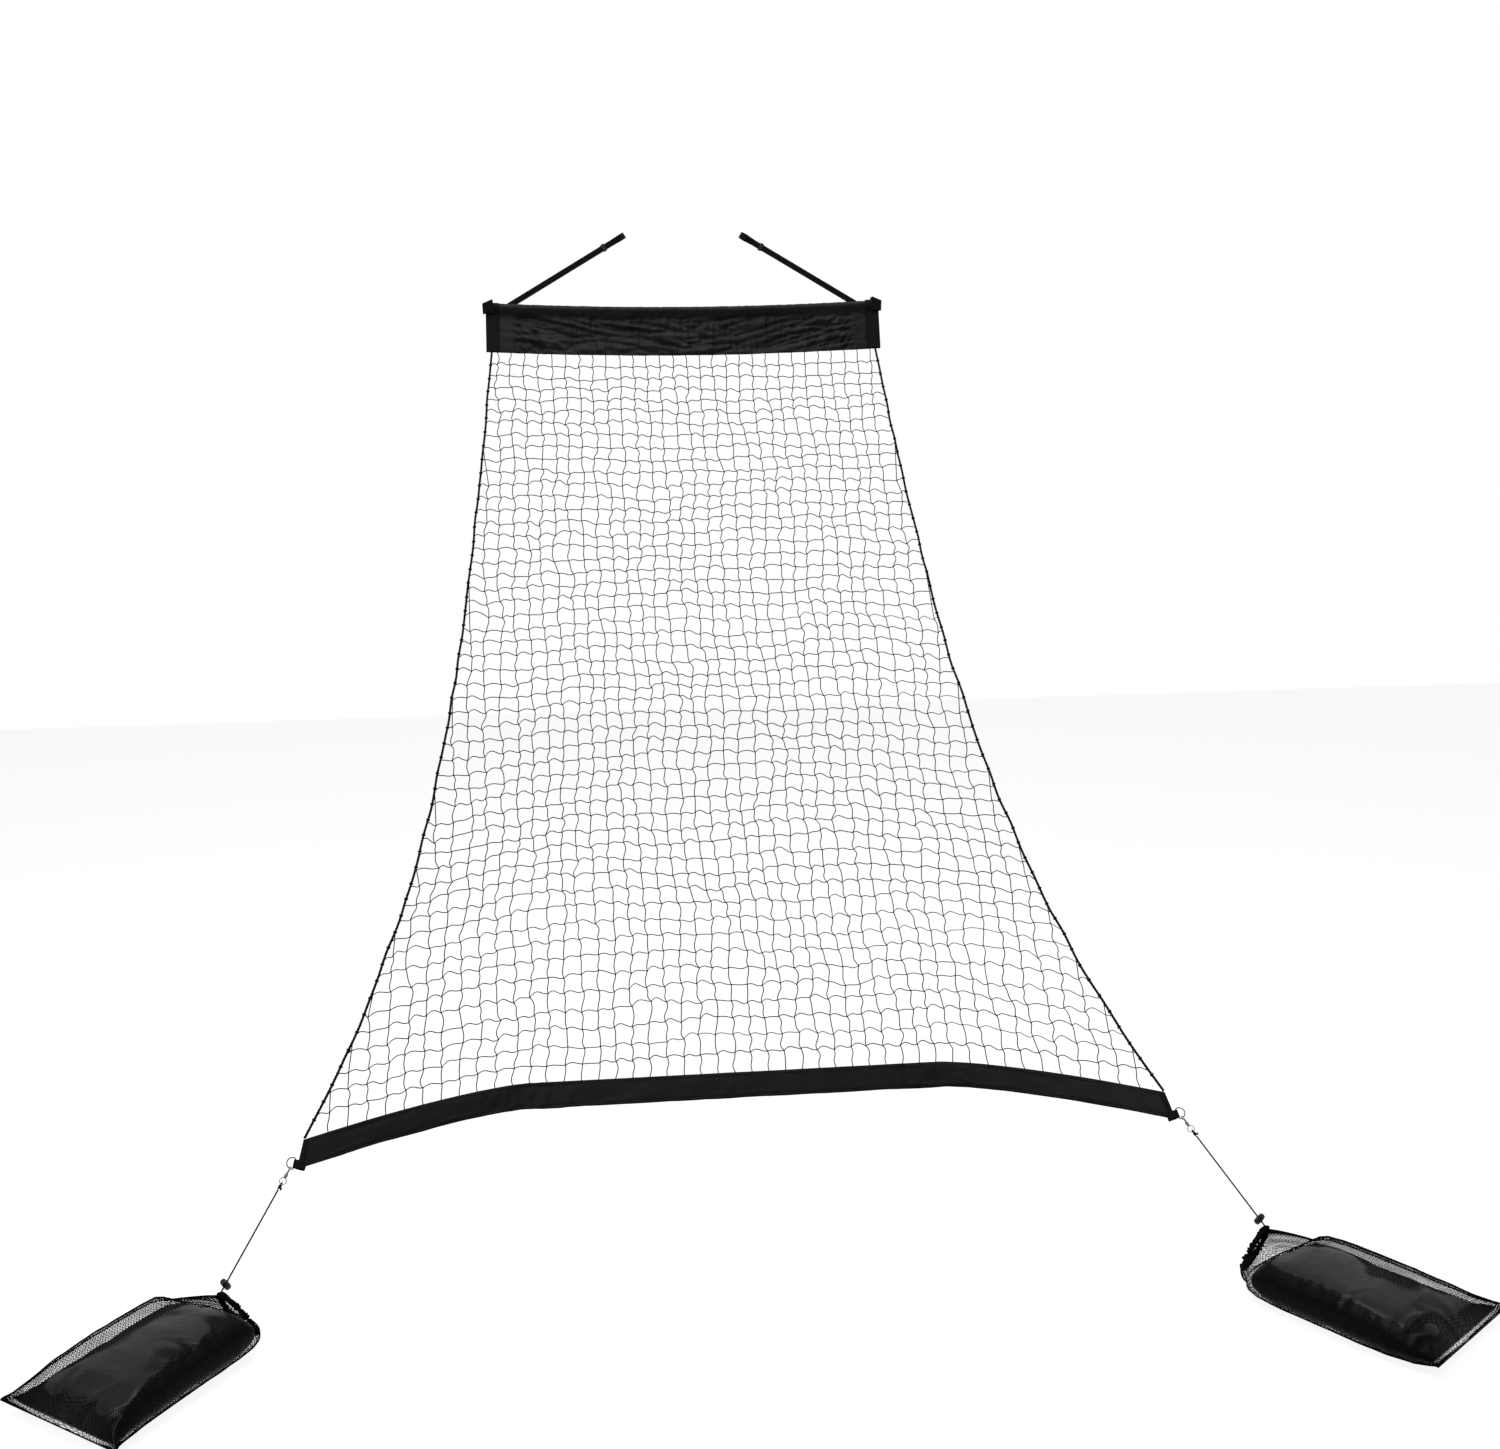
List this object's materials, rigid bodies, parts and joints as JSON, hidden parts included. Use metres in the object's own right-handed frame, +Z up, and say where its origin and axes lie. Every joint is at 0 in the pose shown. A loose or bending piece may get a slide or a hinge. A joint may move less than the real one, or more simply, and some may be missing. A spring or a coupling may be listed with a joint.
{
  "type": "ball return net",
  "caption": "Square-mesh ball return net that hangs from two strap loops, slopes forward and is held down at its corners by sand bags.",
  "frame": {"origin": "midway between the insides of the tops of the two strap loops, where the return system hangs", "axes": "+X to the right as the player faces it, +Y away from the player, +Z up; the ground is at z = -2.770 m"},
  "size_m": [3.4223, 2.5316, 2.7794],
  "materials": {
    "header_fabric": "black woven polyester sleeve",
    "hem_fabric": "black folded polyester band",
    "webbing": "black woven webbing",
    "net_twine": "black knotted polyethylene twine",
    "lead_cord": "black braided cord",
    "steel_tube": "black powder coat",
    "plated_metal": "nickel plated",
    "moulded_nylon": "moulded nylon",
    "bag_vinyl": "glossy black vinyl filled with sand",
    "bag_mesh": "knitted mesh"
  },
  "bodies": {
    "root": {"bar_ferrule": "steel_tube", "header_sleeve": "header_fabric", "return_net": "net_twine", "hem_band": "hem_fabric", "bar_tube_left": "steel_tube", "bar_tube_right": "steel_tube", "bar_end_cap_left": "moulded_nylon", "bar_end_cap_right": "moulded_nylon", "header_panel_left": "webbing", "header_panel_right": "webbing", "bar_pocket_left": "webbing", "bar_pocket_right": "webbing", "strap_left": "webbing", "strap_right": "webbing", "border_rope_left": "net_twine", "border_rope_right": "net_twine", "hem_tab_left": "webbing", "hem_tab_right": "webbing", "lead_cord_left": "lead_cord", "lead_cord_right": "lead_cord", "sand_bag_left": "bag_vinyl", "sand_bag_right": "bag_vinyl", "mesh_bag_left": "bag_mesh", "mesh_bag_right": "bag_mesh", "draw_cord_left": "lead_cord", "draw_cord_right": "lead_cord"},
    "strap_slide_left": {"strap_slide_left": "moulded_nylon"},
    "d_ring_left": {"d_ring_left": "plated_metal"},
    "snap_hook_left": {"snap_hook_left": "plated_metal", "gate_pin_left": "plated_metal", "gate_spring_left": "plated_metal"},
    "hook_gate_left": {"hook_gate_left": "plated_metal"},
    "swivel_left": {"swivel_ring_left": "plated_metal", "lead_knot_left": "lead_cord"},
    "cord_lock_left": {"cord_lock_left": "moulded_nylon", "lock_spring_left": "plated_metal"},
    "lock_button_left": {"lock_button_left": "moulded_nylon"},
    "strap_slide_right": {"strap_slide_right": "moulded_nylon"},
    "d_ring_right": {"d_ring_right": "plated_metal"},
    "snap_hook_right": {"snap_hook_right": "plated_metal", "gate_pin_right": "plated_metal", "gate_spring_right": "plated_metal"},
    "hook_gate_right": {"hook_gate_right": "plated_metal"},
    "swivel_right": {"swivel_ring_right": "plated_metal", "lead_knot_right": "lead_cord"},
    "cord_lock_right": {"cord_lock_right": "moulded_nylon", "lock_spring_right": "plated_metal"},
    "lock_button_right": {"lock_button_right": "moulded_nylon"}
  },
  "joints": [
    {"name": "strap_slide_left_shift", "type": "slide", "parent": "root", "child": "strap_slide_left", "axis": [-0.8587, 0, -0.5126], "range_m": [-0.012, 0.025]},
    {"name": "d_ring_left_swing", "type": "hinge", "parent": "root", "child": "d_ring_left", "pos_m": [-1.13555, -1.66039, -2.46612], "axis": [0.1379, 0.736, 0.6627], "range_deg": [-5, 5]},
    {"name": "snap_hook_left_swing", "type": "hinge", "parent": "root", "child": "snap_hook_left", "pos_m": [-1.14492, -1.67215, -2.47295], "axis": [0.8584, -0.0596, -0.5095], "range_deg": [-15, 15]},
    {"name": "hook_gate_left_open", "type": "hinge", "parent": "snap_hook_left", "child": "hook_gate_left", "pos_m": [-1.15267, -1.6771, -2.48543], "axis": [0.8584, -0.0596, -0.5095], "range_deg": [0, 25], "stiffness_Nm_per_rad": 0.004, "springref_deg": -20.05},
    {"name": "swivel_left_turn", "type": "hinge", "parent": "snap_hook_left", "child": "swivel_left", "pos_m": [-1.14492, -1.67215, -2.47295], "axis": [-0.4166, -0.6604, -0.6248], "continuous": true},
    {"name": "cord_lock_left_slide", "type": "slide", "parent": "root", "child": "cord_lock_left", "axis": [0.4166, 0.6604, 0.6248], "range_m": [0, 0.08]},
    {"name": "lock_button_left_press", "type": "slide", "parent": "cord_lock_left", "child": "lock_button_left", "axis": [0.3334, 0.5284, -0.7808], "range_m": [0, 0.003], "stiffness_N_per_m": 300, "springref_m": -0.002},
    {"name": "strap_slide_right_shift", "type": "slide", "parent": "root", "child": "strap_slide_right", "axis": [0.8587, 0, -0.5126], "range_m": [-0.012, 0.025]},
    {"name": "d_ring_right_swing", "type": "hinge", "parent": "root", "child": "d_ring_right", "pos_m": [1.13555, -1.66039, -2.46612], "axis": [-0.1379, 0.736, 0.6627], "range_deg": [-5, 5]},
    {"name": "snap_hook_right_swing", "type": "hinge", "parent": "root", "child": "snap_hook_right", "pos_m": [1.14492, -1.67215, -2.47295], "axis": [0.8584, 0.0596, 0.5095], "range_deg": [-15, 15]},
    {"name": "hook_gate_right_open", "type": "hinge", "parent": "snap_hook_right", "child": "hook_gate_right", "pos_m": [1.15267, -1.6771, -2.48543], "axis": [0.8584, 0.0596, 0.5095], "range_deg": [0, 25], "stiffness_Nm_per_rad": 0.004, "springref_deg": -20.05},
    {"name": "swivel_right_turn", "type": "hinge", "parent": "snap_hook_right", "child": "swivel_right", "pos_m": [1.14492, -1.67215, -2.47295], "axis": [0.4166, -0.6604, -0.6248], "continuous": true},
    {"name": "cord_lock_right_slide", "type": "slide", "parent": "root", "child": "cord_lock_right", "axis": [-0.4166, 0.6604, 0.6248], "range_m": [0, 0.08]},
    {"name": "lock_button_right_press", "type": "slide", "parent": "cord_lock_right", "child": "lock_button_right", "axis": [-0.3334, 0.5284, -0.7808], "range_m": [0, 0.003], "stiffness_N_per_m": 300, "springref_m": -0.002}
  ]
}
